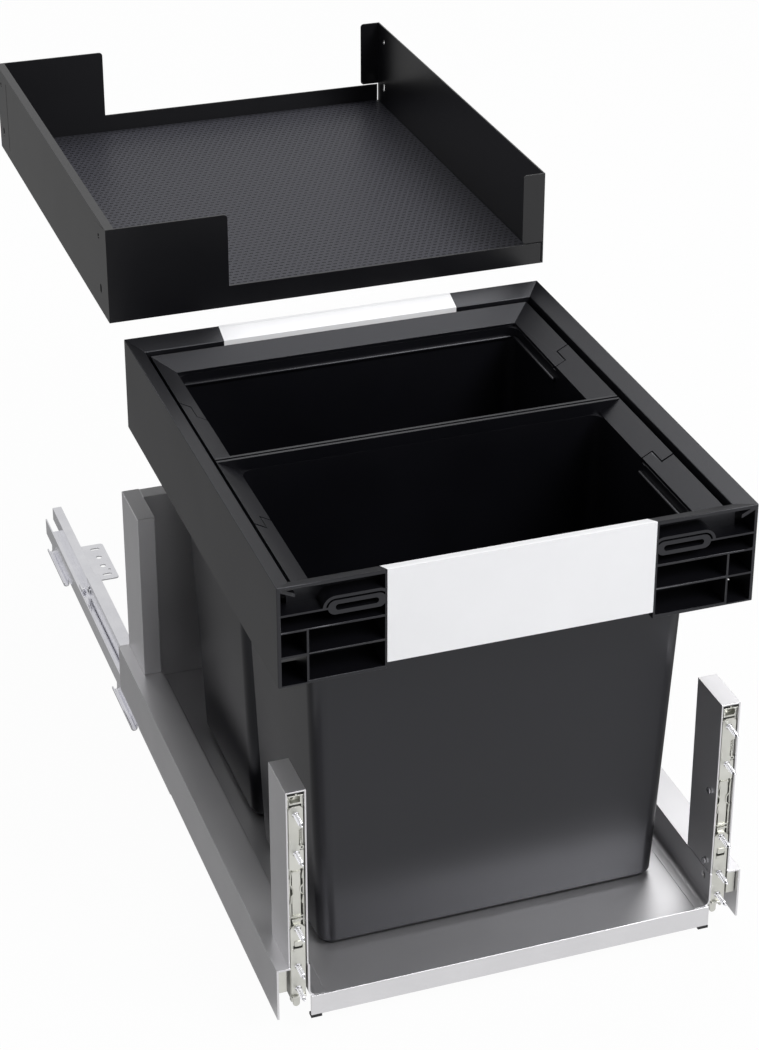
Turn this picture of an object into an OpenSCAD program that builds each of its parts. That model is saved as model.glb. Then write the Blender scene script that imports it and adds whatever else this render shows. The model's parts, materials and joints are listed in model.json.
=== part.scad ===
/* [Frame] */
// Width of the plastic frame
frame_w = 345; // [300:1:500]
// Length of the plastic frame, front to back
frame_l = 400.4; // [360:1:480]
// Height of the frame's outer wall
frame_h = 76.6; // [60:0.5:90]
// Height of the frame's top above the underside of the base
frame_top = 350.4; // [300:1:420]
// Width of the sloping rail along each side
rail_side_w = 12.6; // [10:0.1:16]
// Width of the sloping rail along the front and the rear
rail_end_w = 15.9; // [14:0.1:20]
// Fall of the rail from its outer edge to its inner edge
rail_drop = 6.1; // [3:0.1:8]
// Wall of the frame
frame_wall = 2.5; // [1.5:0.1:3]
// Thickness of the frame's inner ribs
rib_t = 1.5; // [1:0.1:2.2]
// Width of the white bridging panels
panel_w = 193.2; // [160:0.2:200]
// Height of the white bridging panels
panel_h = 71.3; // [50:0.1:74]
// Depth of the ribbed corner blocks
block_d = 30; // [26:0.5:32]
// Length of the slots that take the door's screws
slot_l = 30; // [20:0.5:32]
// Width of the slots that take the door's screws
slot_w = 4.4; // [3.5:0.1:5.5]

/* [Bins] */
// Gap between the frame and the rim of a bin, seen from above
rim_gap_side = 3.6; // [2:0.1:5]
// The same gap at the front and the rear
rim_gap_end = 1.5; // [1:0.1:3]
// Depth of the rim's top below the frame's top
rim_low = 9.4; // [7:0.1:11]
// Width of the rim's slope along the sides
rim_side_w = 16.4; // [14:0.1:20]
// Width of the rim's slope along the end
rim_end_w = 16.4; // [14:0.1:20]
// Fall of the rim's slope
rim_drop = 9; // [6:0.1:11]
// Wall of a bin
bin_wall = 2.4; // [1.6:0.1:2.8]
// Inward lean of a bin's sides, over their height
bin_draft = 11; // [4:0.1:14]
// Inward lean of a bin's outer end
bin_draft_end = 13; // [6:0.1:18]
// Inward lean of the wall that faces the other bin
bin_draft_inner = 7.5; // [3:0.1:10]
// Radius of a bin's upright corners
bin_r = 12; // [6:0.5:16]
// Height of the rounding round a bin's floor
bin_foot_r = 5; // [3:0.5:7]
// Gap between the two bins at the top
bin_split = 2; // [1:0.1:4]
// Distance of the outer half of the rim's joint from the bins' middle line
lap_out = 96.5; // [92:0.5:104]
// Distance of the inner half of the rim's joint from the bins' middle line
lap_in = 80; // [70:0.5:86]

/* [Bin handles] */
// Thickness of the handles
handle_t = 2.5; // [1.8:0.1:2.8]
// Radius of the handle's pivot studs
stud_r = 0.9; // [0.7:0.05:1]
// Length of the handle's pivot studs
stud_l = 4; // [3:0.1:5]

/* [Base] */
// Half width of the base pan at its front lip
pan_hw = 154.1; // [140:0.5:230]
// Height of the front lip
lip_h = 16.9; // [12:0.1:22]
// How far the lip stands in front of the frame
lip_fore = 3.2; // [2.4:0.1:5]
// Length of the drawer, front to back
drawer_l = 451.6; // [445:0.5:520]
// Thickness of the sheet steel
sheet_t = 1.5; // [1:0.1:1.8]
// Width of the side profiles
profile_w = 24.4; // [23.5:0.1:30]
// Height of the side profiles' top
profile_top = 44.2; // [43:0.1:60]
// Height of the skirt's lower edge
skirt_low = 1.5; // [0.8:0.1:3]
// Radius of the bend between floor and side wall
bend_r = 5; // [3:0.1:7]
// Width of the foot flange beside the floor
foot_w = 6; // [4:0.1:10]
// Height of the rubber feet
foot_h = 2.2; // [1.5:0.1:3]

/* [Brackets and back] */
// Height of the brackets' top
bracket_top = 190.7; // [150:1:230]
// Width of the brackets
bracket_w = 14.6; // [13.6:0.1:17]
// Depth of the front brackets
bracket_d = 39.6; // [30:0.1:50]
// Depth of the rear brackets
rear_bracket_d = 51.7; // [40:0.1:60]
// Wall of the brackets
bracket_wall = 1.2; // [0.8:0.1:1.5]
// Depth of the back wall's box section
back_d = 14.8; // [10:0.1:20]
// Height of the top door screw
screw_top = 171; // [150:0.5:175]
// Grid of the door screws
screw_grid = 32; // [28:1:34]
// Radius of the door screws' thread
screw_r = 1.9; // [1.5:0.1:2.2]
// Length of the door screws in front of their plate
screw_l = 15; // [10:0.5:18]

/* [Runners] */
// Nominal length of the runners
runner_l = 450; // [430:5:500]
// Travel of the drawer from the photographed place to closed
travel_in = 278; // [250:1:300]
// Height of the middle member's top
middle_top = 26.5; // [25:0.1:28]
// Length of the middle members
middle_l = 380; // [340:5:400]
// Wall of the runner members
runner_wall = 1.2; // [1:0.1:1.4]
// Width of the box rail
rail_w = 8.4; // [7:0.1:9]
// Height of the box rail's top
rail_top = 20.5; // [18:0.1:21]
// Underside of the box rail, above the underside of the base
rail_foot = 8; // [6:0.1:10]
// Depth of the upright leg below that
leg_drop = 14; // [10:0.1:16]
// Width of the mounting plate beside the rail
plate_w = 22.5; // [20:0.5:28]
// Length of the mounting plate
plate_l = 65; // [56:0.5:80]
// Pitch of the mounting plate's holes
plate_pitch = 16; // [14:0.5:18]
// Length of the hook feet
hook_l = 67; // [50:1:80]
// Depth of the hook feet below the leg
hook_h = 7.5; // [6:0.1:12]

/* [Tray] */
// Width of the tray
tray_w = 362; // [320:1:520]
// Length of the tray
tray_l = 406.9; // [360:1:480]
// Place of the tray's front, behind the frame's front
tray_y = 409.3; // [405:0.5:430]
// Gap between the frame's top and the tray's underside
tray_gap = 10.7; // [6:0.1:20]
// Height of the tray's tall walls
tray_h = 77.9; // [60:0.5:100]
// Height of the tray's low walls
tray_low = 17.8; // [12:0.1:26]
// Width of the tall part of the front and rear walls
tray_tall_w = 96.7; // [60:0.5:140]
// Width of the tabs on the right wall
tray_tab_w = 18.4; // [12:0.1:26]
// Width of the folded strip on the left wall's top
tray_fold = 7; // [5:0.1:10]
// Sheet of the tray
tray_t = 1.2; // [0.8:0.1:1.5]
// Thickness of the tray's mat
mat_t = 1; // [0.8:0.1:1.5]
// Radius of the tray's fixing holes
tray_hole_r = 2.2; // [1.8:0.1:2.6]

/* [Hidden] */

$fn = 32;
over = 1;
loose = 0.3;
fit_r = 0.08;

// Colours
plastic = [0.09, 0.09, 0.1];
frame_black = [0.13, 0.13, 0.14];
white = [0.93, 0.93, 0.94];
painted = [0.66, 0.66, 0.68];
zinc = [0.85, 0.85, 0.88];
plate_zinc = [0.7, 0.7, 0.67];
tray_black = [0.16, 0.16, 0.17];
mat_grey = [0.3, 0.3, 0.32];
rubber = [0.05, 0.05, 0.05];

// Frame, worked out
frame_hw = frame_w / 2;
frame_low = frame_top - frame_h;
opening_hw = frame_hw - rail_side_w;
rail_low = frame_top - rail_drop;
lip_t = 2;
ledge_t = 2;
ledge_in = 8;
roof_t = 2.8;
panel_hw = panel_w / 2;
slot_wall = 3.1;
slot_end = 5.2;
slot_room = 0.6;
slot_drop = 21.9;
slot_x = panel_hw + slot_l / 2 + slot_end + slot_room;
slot_z = frame_top - slot_drop;
hood_gap = 1.4;
hood_t = 2.2;
rib_drops = [34.8, 53.5];
rib_in = 8.2;
rib_zs = [slot_z, frame_top - rib_drops[0], frame_top - rib_drops[1]];
rib_x = opening_hw - rib_in;

// Bins, worked out
mid_y = frame_l / 2;
rim_hw = opening_hw - rim_gap_side;
rim_y = rail_end_w + rim_gap_end;
rim_top = frame_top - rim_low;
mouth_hw = rim_hw - rim_side_w;
mouth_y = rim_y + rim_end_w;
mouth_z = rim_top - rim_drop;
div_y = mid_y - bin_split / 2;
seat_drop = handle_t + loose;
seat_t = 2.2;
rim_lap = 1;
rim_low_z = mouth_z - seat_drop - seat_t - rim_lap;
ledge_z = rim_low_z - loose;
skirt_t = 2.2;
lap_x = mouth_hw + rim_side_w / 2;
lap_gap_out = 1.4;
lap_gap_in = 1;
lap_gap_side = 0.8;
tail_l = 1.7;
pivot_y = mid_y - lap_in - lap_gap_in - tail_l;
pivot_sink_share = 0.72;
pivot_z = mouth_z + rim_drop / 2 - pivot_sink_share * handle_t;
tail_room = 0.9;
floor_z = lip_h;
bin_low = floor_z + loose;
bag_ledge = 1.8;
bag_ledge_drop = 11;

// Base, worked out
profile_hw = pan_hw + profile_w;
drawer_y = sheet_t - lip_fore;
drawer_rear = drawer_y + drawer_l;
foot_hw = pan_hw - bend_r - foot_w;
back_y = drawer_rear - back_d;
bracket_gap = 0.6;
bracket_in = pan_hw + bracket_gap;
bracket_out = bracket_in + bracket_w;
bracket_fore = 0.5;
bracket_y = -bracket_fore;
bracket_rear = bracket_y + bracket_d;
rear_bracket_y = drawer_rear - rear_bracket_d;

// Door fixing, worked out
fix_x = (bracket_in + bracket_out) / 2;
fix_gap = 0.9;
fix_w = bracket_w - 2 * bracket_wall - 2 * fix_gap;
plate_t = 1.6;
plate_y = 0.4;
plate_above = 7;
plate_below = 13;
lower_above = 4;
lower_below = 0.5;
low_pitch = 19.5;
plate_top = screw_top + plate_above;
plate_foot = screw_top - screw_grid - plate_below;
lower_top = screw_top - 3 * screw_grid + lower_above;
lower_foot = lip_h - lower_below;
low_screw = screw_top - 4 * screw_grid - low_pitch;
neck_side = 0.4;
neck_r = screw_r + neck_side;
neck_h = 0.6;
neck_gap = 0.1;
carrier_d = 8;
carrier_drop = 4;
carrier_top = bracket_top - carrier_drop;
screw_zs = [
  screw_top, screw_top - screw_grid, screw_top - 3 * screw_grid, screw_top - 4 * screw_grid, low_screw
];
arm_rise = 16;
arm_low = profile_top + arm_rise;
lever_y = 8.4;
lever_rise = 1.6;
lever_z = lip_h + lever_rise;
lever_pin_r = 1.2;
lever_hub_r = 2.4;
lever_hub_l = 5;
lever_tab_w = 5;
lever_tab_z = 6;

adjust_y = 9.3;
adjust_r = 2.6;
adjust_gap = 0.4;
adjust_drop = 6.7;
adjust_rises = [6.1, 68];
adjust_zs = [profile_top + adjust_rises[0], profile_top + adjust_rises[1]];
notch_y = 12.6;

// Runners, worked out
runner_in = 13.3;
runner_x = profile_hw - runner_in;
runner_loose = 0.4;
rail_in = runner_x - rail_w / 2;
rail_out = runner_x + rail_w / 2;
leg_gap = 0.4;
leg_lap = 2;
leg_out = profile_hw - sheet_t - leg_gap;
leg_low = rail_foot - leg_drop;
leg_top = rail_foot + leg_lap;
web_rear_gap = 25;
runner_rear = 747;
runner_front = runner_rear - runner_l;
middle_hw = rail_w / 2 + runner_loose + runner_wall;
middle_low = 14;
middle_back = 8;
middle_rear = runner_rear - travel_in / 2 - middle_back;
middle_front = middle_rear - middle_l;
channel_gap = 1;
channel_hw = middle_hw + channel_gap + runner_wall;
channel_low = 14.2;
channel_top = profile_top - sheet_t;
roller_gap = 0.15;
lower_roller_r = (middle_top - runner_wall - rail_top) / 2 - roller_gap;
upper_roller_r = (channel_top - runner_wall - middle_top) / 2 - roller_gap;
roller_side = 0.8;
roller_l = rail_w - 2 * roller_side;
cage_t = 0.8;
lower_count = 8;
lower_pitch = 16;
lower_cage_y = (runner_front + middle_rear - (lower_count + 0.5) * lower_pitch) / 2;
upper_count = 5;
upper_pitch = 20;
channel_y = 13;
channel_back = 5;
channel_rear = drawer_rear - channel_back;
upper_cage_y = (middle_front + channel_rear - (upper_count + 0.5) * upper_pitch) / 2;
cap_r = 3.4;
cap_l = 10.5;
cap_low = 21;
hook_ys = [406, 657];
hook_r = 2.8;
plate_y0 = 613;
plate_z = 12.4;
plate_hole_in = 13.5;
plate_hole_x = rail_in - plate_hole_in;
plate_hole_r = 2.7;
plate_slot_l = 8.4;
plate_slot_r = 1.6;

// Tray, worked out
tray_z = frame_top + tray_gap;
tray_hw = tray_w / 2;
tray_rear = tray_y + tray_l;
tray_corner = 3;
tray_hole_in = [24.2, 16.7];
tray_hole_rise = 63.8;
tray_slot_rise = 19.3;
tray_hole_z = tray_z + tray_hole_rise;
tray_slot_z = tray_z + tray_slot_rise;
tray_slot_l = 8;
tray_slit = 1;

// The part's origin: the middle of the four screw holes, under the mounting plates
hole_mid_y = plate_y0 + plate_l / 2;

module placed() {
  translate([0, -hole_mid_y, -plate_z]) children();
}

// A block between two corners
module slab(lo, hi) {
  translate(lo) cube(hi - lo);
}

// A profile drawn in x and z, run along y
module run(y0, y1) {
  translate([0, y1, 0]) rotate([90, 0, 0]) linear_extrude(height = y1 - y0) children();
}

// A profile drawn in y and z, run along x
module span(x0, x1) {
  translate([x0, 0, 0]) rotate([90, 0, 90]) linear_extrude(height = x1 - x0) children();
}

// A rod along x
module rod_x(x0, x1, y, z, r) {
  translate([x0, y, z]) rotate([0, 90, 0]) cylinder(h = x1 - x0, r = r);
}

// A rod along y
module rod_y(y0, y1, x, z, r) {
  translate([x, y0, z]) rotate([-90, 0, 0]) cylinder(h = y1 - y0, r = r);
}

// Left pieces are mirrored right ones
module side(s) {
  mirror([s < 0 ? 1 : 0, 0, 0]) children();
}

// Rear pieces are mirrored front ones
module rearward(back) {
  translate([0, back ? frame_l : 0, 0]) mirror([0, back ? 1 : 0, 0]) children();
}

// A rectangle with round corners, exact
module soft_rect(x0, x1, y0, y1, r) {
  translate([x0 + r, y0]) square([x1 - x0 - 2 * r, y1 - y0]);
  translate([x0, y0 + r]) square([x1 - x0, y1 - y0 - 2 * r]);
  for (x = [x0 + r, x1 - r], y = [y0 + r, y1 - r]) translate([x, y]) circle(r);
}

// A slot shape lying along x
module stadium(l, w) {
  square([l - w, w], center = true);
  for (x = [-(l - w) / 2, (l - w) / 2]) translate([x, 0]) circle(w / 2);
}

// Cross-sections of the frame's rail
module end_roof_2d() {
  fall = rail_drop * frame_wall / rail_end_w;
  polygon([
    [0, rail_low - over], [0, frame_top], [rail_end_w, rail_low],
    [rail_end_w, rail_low - roof_t], [frame_wall, frame_top - fall - roof_t], [frame_wall, rail_low - over]
  ]);
}

module block_roof_2d() {
  polygon([
    [0, frame_top - roof_t], [0, frame_top], [rail_end_w, rail_low], [rail_end_w, rail_low - roof_t]
  ]);
}

module end_lip_2d() {
  polygon([
    [rail_end_w - lip_t, rail_low - over], [rail_end_w, rail_low - over], [rail_end_w, ledge_z],
    [rail_end_w + ledge_in, ledge_z], [rail_end_w + ledge_in, ledge_z - ledge_t],
    [rail_end_w - lip_t, ledge_z - ledge_t]
  ]);
}

module side_roof_2d() {
  fall = rail_drop * frame_wall / rail_side_w;
  polygon([
    [frame_hw, frame_low], [frame_hw, frame_top], [opening_hw, rail_low], [opening_hw, rail_low - roof_t],
    [frame_hw - frame_wall, frame_top - fall - roof_t], [frame_hw - frame_wall, frame_low]
  ]);
}

module side_lip_2d() {
  polygon([
    [opening_hw + lip_t, rail_low - over], [opening_hw, rail_low - over], [opening_hw, ledge_z],
    [opening_hw - ledge_in, ledge_z], [opening_hw - ledge_in, ledge_z - ledge_t],
    [opening_hw + lip_t, ledge_z - ledge_t]
  ]);
}

// The ribbed block at one corner of the frame, open to the front
module corner_block() {
  inner = panel_hw + rib_t;
  deep = block_d - rib_t;
  outer = frame_hw - frame_wall;
  boss_l = slot_l + 2 * slot_end;
  boss_w = slot_w + 2 * slot_wall;
  hood_l = boss_l + 2 * hood_gap + 2 * hood_t;
  hood_w = boss_w + 2 * hood_gap + 2 * hood_t;
  span(panel_hw, frame_hw) block_roof_2d();
  span(panel_hw, opening_hw + lip_t) end_lip_2d();
  slab([panel_hw, 0, frame_low], [inner, deep, ledge_z - ledge_t]);
  span(panel_hw, inner) polygon([
    [0, ledge_z - ledge_t - over], [0, frame_top - over],
    [rail_end_w - over, rail_low - over], [rail_end_w - over, ledge_z - ledge_t - over]
  ]);
  slab([slot_x + boss_l / 2 - over, 0, slot_z - rib_t / 2],
       [outer + over, rail_end_w - over, slot_z + rib_t / 2]);
  for (i = [1, 2])
    slab([panel_hw, 0, rib_zs[i] - rib_t / 2], [outer + over, deep, rib_zs[i] + rib_t / 2]);
  slab([panel_hw, 0, frame_low], [rib_x, deep, frame_low + roof_t]);
  slab([rib_x, 0, frame_low], [outer + over, deep, frame_low + rib_t]);
  slab([rib_x - rib_t / 2, 0, frame_low], [rib_x + rib_t / 2, deep, rib_zs[1]]);
  slab([panel_hw, deep - over / 2, frame_low], [rib_x, block_d, ledge_z - ledge_t]);
  slab([rib_x - over, deep - over / 2, rib_zs[1]], [outer + over, block_d, ledge_z - ledge_t]);
  for (i = [1, 2]) {
    top = rib_zs[i];
    low = i == 1 ? rib_zs[2] : frame_low;
    run(deep - over / 2, block_d) polygon([[rib_x - over, top], [outer + over, top], [outer + over, low]]);
  }
  difference() {
    run(0, rail_end_w - over) translate([slot_x, slot_z]) {
      stadium(boss_l, boss_w);
      difference() {
        stadium(hood_l, hood_w);
        stadium(hood_l - 2 * hood_t, hood_w - 2 * hood_t);
        translate([-hood_l, -hood_w]) square([2 * hood_l, hood_w]);
      }
    }
    slot_cut();
    slab([panel_hw - hood_l, -over, frame_low], [panel_hw, rail_end_w, frame_top]);
  }
}

// The slot that takes a door screw
module slot_cut() {
  reach = (slot_l - slot_w) / 2;
  for (x = [slot_x - reach, slot_x + reach])
    rod_y(-over, rail_end_w - lip_t, x, slot_z, slot_w / 2);
  slab([slot_x - reach, -over, slot_z - slot_w / 2], [slot_x + reach, rail_end_w - lip_t, slot_z + slot_w / 2]);
}

// One half of the frame, with a ribbed block at each end
module frame_half(s) {
  color(frame_black) side(s) {
    run(0, frame_l) side_roof_2d();
    run(rail_end_w - lip_t, frame_l - rail_end_w + lip_t) side_lip_2d();
    for (back = [false, true]) rearward(back) corner_block();
  }
}

// A white panel that bridges the two halves
module frame_panel(back) {
  low = frame_top - panel_h;
  color(white) rearward(back) {
    span(-panel_hw, panel_hw) {
      end_roof_2d();
      end_lip_2d();
      translate([0, low]) square([frame_wall, frame_h - rail_drop]);
      translate([0, low]) square([rail_end_w - lip_t, frame_wall]);
    }
    for (x = [-panel_hw, panel_hw - frame_wall])
      slab([x, 0, low], [x + frame_wall, rail_end_w - lip_t, rail_low - roof_t]);
  }
}

// The space above a bin's rim, lowered by dz
module funnel(dz) {
  inner_y = div_y - bin_wall;
  top = rim_top - dz;
  low = mouth_z - dz;
  polyhedron(
    points = [
      [-mouth_hw, mouth_y, low], [mouth_hw, mouth_y, low], [mouth_hw, inner_y, low], [-mouth_hw, inner_y, low],
      [-rim_hw, rim_y, top], [rim_hw, rim_y, top], [rim_hw, inner_y, top], [-rim_hw, inner_y, top]
    ],
    faces = [[0, 1, 2, 3], [7, 6, 5, 4], [0, 4, 5, 1], [1, 5, 6, 2], [2, 6, 7, 3], [3, 7, 4, 0]]
  );
  if (dz > 0) slab([-rim_hw, rim_y, top], [rim_hw, inner_y, rim_top + over]);
}

// A level slice of a bin's body, with its share of the lean
module bin_slice(z, t, lean_share, foot_in, grow, r) {
  hw = mouth_hw + bin_wall - bin_draft * lean_share - foot_in + grow;
  y0 = mouth_y - bin_wall + bin_draft_end * lean_share + foot_in - grow;
  y1 = div_y - bin_draft_inner * lean_share - foot_in + grow;
  translate([0, 0, z]) linear_extrude(height = t)
    soft_rect(-hw, hw, y0, y1, r);
}

// The outside of a bin, and with grow below zero its inside
module bin_form(grow, low, foot) {
  t = loose;
  hull() {
    bin_slice(mouth_z - t, t, 0, 0, grow, bin_r + grow);
    bin_slice(low + foot, t, 1, 0, grow, bin_r + grow);
    bin_slice(low, t, 1, foot * 0.8, grow, bin_r + grow - foot * 0.8);
  }
}

// The part of the rim that stays on the bin, in plan
module cap_2d() {
  y_out = mid_y - lap_out;
  y_in = mid_y - lap_in;
  polygon([
    [-rim_hw, y_out], [-lap_x, y_out], [-lap_x, y_in], [lap_x, y_in],
    [lap_x, y_out], [rim_hw, y_out], [rim_hw, div_y], [-rim_hw, div_y]
  ]);
}

// A bin with its rim, standing at the front
module front_bin() {
  difference() {
    union() {
      difference() {
        union() {
          bin_form(0, bin_low, bin_foot_r);
          slab([-rim_hw, rim_y, rim_low_z], [rim_hw, div_y, rim_top]);
        }
        funnel(seat_drop);
      }
      difference() {
        translate([0, 0, rim_low_z]) linear_extrude(height = rim_top - rim_low_z) cap_2d();
        funnel(0);
      }
    }
    rim_hollow();
    difference() {
      bin_form(-bin_wall, bin_low + bin_wall, bin_foot_r);
      bag_ledge_form();
    }
    slab([-mouth_hw, mouth_y, mouth_z - over], [mouth_hw, div_y - bin_wall, rim_top + over]);
    intersection() {
      funnel(seat_drop + tail_room);
      slab([-lap_x, pivot_y - 2 * tail_l, rim_low_z], [lap_x, mid_y - lap_in, rim_top]);
    }
    for (s = [-1, 1]) side(s)
      rod_x(lap_x - over, lap_x + stud_l + 2 * loose, pivot_y, pivot_z, stud_r + fit_r);
  }
}

// The ledge inside the bin, below its handle
module bag_ledge_form() {
  z = mouth_z - bag_ledge_drop;
  x = mouth_hw - bag_ledge;
  difference() {
    slab([-rim_hw, rim_y, z - bag_ledge], [rim_hw, mid_y - lap_in, z]);
    slab([-x, mouth_y + bag_ledge, z - bag_ledge - over], [x, div_y, z + over]);
  }
}

// The hollow under the rim, outside the bin's body
module rim_hollow() {
  difference() {
    slab([-rim_hw + skirt_t, rim_y + skirt_t, rim_low_z - over], [rim_hw - skirt_t, div_y - bin_wall, rim_top]);
    funnel(seat_drop + seat_t);
    bin_form(0, bin_low, bin_foot_r);
    translate([0, 0, rim_low_z - over]) slab([-mouth_hw - bin_wall, mouth_y - bin_wall, 0],
      [mouth_hw + bin_wall, div_y, rim_top - rim_low_z + over]);
  }
}

// A handle that lies in the rim, in plan
module handle_2d() {
  y_out = mid_y - lap_out - lap_gap_out;
  y_in = mid_y - lap_in - lap_gap_in;
  x_in = lap_x - lap_gap_side;
  polygon([
    [-rim_hw, rim_y], [rim_hw, rim_y], [rim_hw, y_out], [x_in, y_out], [x_in, y_in],
    [-x_in, y_in], [-x_in, y_out], [-rim_hw, y_out]
  ]);
}

// The handle of the front bin, with its pivot studs
module front_handle() {
  difference() {
    intersection() {
      translate([0, 0, rim_low_z]) linear_extrude(height = rim_top - rim_low_z) handle_2d();
      funnel(handle_t);
    }
    funnel(0);
    slab([-mouth_hw, mouth_y, rim_low_z - over], [mouth_hw, div_y, rim_top + over]);
  }
  for (s = [-1, 1]) side(s)
    rod_x(lap_x - lap_gap_side - over, lap_x + stud_l, pivot_y, pivot_z, stud_r);
}

module bin(back) {
  color(plastic) rearward(back) front_bin();
}

module handle(back) {
  color(plastic) rearward(back) front_handle();
}

// Side profile: skirt, top, inner wall, bend and foot
module profile_2d() {
  bend_x = pan_hw - bend_r;
  bend_z = lip_h + bend_r;
  translate([profile_hw - sheet_t, skirt_low]) square([sheet_t, profile_top - skirt_low]);
  translate([pan_hw, profile_top - sheet_t]) square([profile_w, sheet_t]);
  translate([pan_hw, bend_z]) square([sheet_t, profile_top - bend_z]);
  difference() {
    translate([bend_x, bend_z]) circle(bend_r + sheet_t);
    translate([bend_x, bend_z]) circle(bend_r);
    translate([bend_x - profile_w, bend_z]) square([2 * profile_w, profile_w]);
    translate([bend_x - profile_w, 0]) square([profile_w, 2 * profile_w]);
  }
  translate([foot_hw, lip_h - sheet_t]) square([bend_x - foot_hw, sheet_t]);
}

// Side profile with the notch for the door fixing and the adjuster's hole
module side_profile(s) {
  color(painted) side(s) difference() {
    run(drawer_y, drawer_rear) profile_2d();
    slab([pan_hw + sheet_t, drawer_y - over, profile_top - sheet_t - over],
         [bracket_out - bracket_wall, notch_y, profile_top + over]);
    rod_x(pan_hw - over, pan_hw + sheet_t + over, adjust_y, profile_top - adjust_drop, adjust_r + adjust_gap);
  }
}

// Base pan: floor and front lip
module base_pan() {
  color(painted) {
    slab([-foot_hw, -lip_fore, lip_h - sheet_t], [foot_hw, drawer_rear, lip_h]);
    slab([-pan_hw, -lip_fore, 0], [pan_hw, -lip_fore + sheet_t, lip_h]);
    slab([-pan_hw, -lip_fore, lip_h - sheet_t], [pan_hw, drawer_y, lip_h]);
  }
}

// Box section across the rear of the drawer
module back_wall() {
  color(painted) difference() {
    slab([-bracket_in, back_y, lip_h], [bracket_in, drawer_rear, bracket_top - bracket_wall / 2]);
    slab([-bracket_in - over, back_y + bracket_wall, lip_h + bracket_wall],
         [bracket_in + over, drawer_rear - bracket_wall, bracket_top - 1.5 * bracket_wall]);
    for (sx = [-1, 1]) side(sx)
      slab([pan_hw - bend_r, back_y - over, lip_h - over],
           [bracket_in + over, drawer_rear + over, profile_top]);
  }
}

// Front bracket: a box open at the front and the foot
module front_bracket(s) {
  color(painted) side(s) difference() {
    slab([bracket_in, bracket_y, profile_top], [bracket_out, bracket_rear, bracket_top]);
    slab([bracket_in + bracket_wall, bracket_y - over, profile_top - over],
         [bracket_out - bracket_wall, bracket_rear - bracket_wall, bracket_top - bracket_wall]);
    for (z = adjust_zs) rod_x(bracket_in - over, bracket_in + bracket_wall + over, adjust_y, z, adjust_r + adjust_gap);
  }
}

// Rear bracket: a box open at the foot
module rear_bracket(s) {
  color(painted) side(s) difference() {
    slab([bracket_in, rear_bracket_y, profile_top], [bracket_out, drawer_rear, bracket_top]);
    slab([bracket_in + bracket_wall, rear_bracket_y + bracket_wall, profile_top - over],
         [bracket_out - bracket_wall, drawer_rear - bracket_wall, bracket_top - bracket_wall]);
  }
}

// Channel that carries the door fixing inside the front bracket
module fixing_rail(s) {
  wing = 0.5;
  tail = 3.5;
  room = 6;
  slot_rise = 5;
  hw = fix_w / 2 + wing;
  back = plate_y + plate_t + carrier_d;
  foot = lever_z - tail;
  color(plate_zinc) side(s) difference() {
    union() {
      slab([fix_x - hw, back, foot], [fix_x + hw, back + plate_t, carrier_top]);
      for (x = [fix_x - hw, fix_x + hw - bracket_wall])
        slab([x, plate_y + plate_t, foot], [x + bracket_wall, back + plate_t, carrier_top]);
      for (z = [arm_low, bracket_top - 2 * arm_low / 3])
        slab([fix_x - hw, back, z], [fix_x + hw, bracket_rear - bracket_wall, z + plate_t]);
      rod_x(fix_x - hw, fix_x + hw, lever_y, lever_z, lever_pin_r);
    }
    slab([fix_x - hw + bracket_wall, lever_y - room, foot - over],
         [fix_x - lever_hub_l / 2 - loose, lever_y + room, foot]);
    slab([fix_x - lever_hub_l / 2 - 2 * loose, lever_y - over, foot - over],
         [fix_x + lever_hub_l / 2 + 2 * loose, back + plate_t + over, lever_z + slot_rise]);
  }
  color(plate_zinc) side(s) rod_x(fix_x - hw, fix_x + hw, lever_y, lever_z, lever_pin_r);
}

// Upper plate, with a chamfered corner and two screw holes
module upper_plate(s) {
  hw = fix_w / 2;
  c = 2.4;
  color(plate_zinc) side(s) difference() {
    run(plate_y, plate_y + plate_t) polygon([
      [fix_x - hw, plate_foot], [fix_x + hw, plate_foot], [fix_x + hw, plate_top - c],
      [fix_x + hw - c, plate_top], [fix_x - hw + c, plate_top], [fix_x - hw, plate_top - c]
    ]);
    for (i = [0, 1]) rod_y(plate_y - over, plate_y + plate_t + over, fix_x, screw_zs[i], neck_r + neck_gap);
  }
}

// Lower plate, with its window and three screw holes
module lower_plate(s) {
  wing = 0.2;
  window_drop = 16.5;
  hw = fix_w / 2 + wing;
  c = 3;
  window = [6.5, 5];
  window_z = screw_zs[2] - window_drop;
  color(plate_zinc) side(s) difference() {
    run(plate_y, plate_y + plate_t) polygon([
      [fix_x - hw, lower_foot], [fix_x + hw, lower_foot], [fix_x + hw, lower_top - c],
      [fix_x + hw - c, lower_top], [fix_x - hw + c, lower_top], [fix_x - hw, lower_top - c]
    ]);
    for (i = [2, 3, 4]) rod_y(plate_y - over, plate_y + plate_t + over, fix_x, screw_zs[i], neck_r + neck_gap);
    slab([fix_x - window.x / 2, plate_y - over, window_z - window.y / 2],
         [fix_x + window.x / 2, plate_y + plate_t + over, window_z + window.y / 2]);
  }
}

// Narrow link between the plates, with waved edges
module fixing_link(s) {
  link_share = 0.29;
  lap = 2;
  bead_sink = 0.4;
  bead_h = 0.8;
  bead_side = 0.7;
  hw = fix_w * link_share;
  z0 = lower_top - loose;
  z1 = plate_foot + lap;
  y0 = plate_y + plate_t;
  color(plate_zinc) side(s) {
    slab([fix_x - hw, y0, z0], [fix_x + hw, y0 + plate_t, z1]);
    for (i = [0:3]) 
      rod_y(y0 + plate_t - bead_sink, y0 + plate_t + bead_h, fix_x, z0 + (i + 0.5) * (z1 - z0) / 4, hw + bead_side);
  }
}

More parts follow.
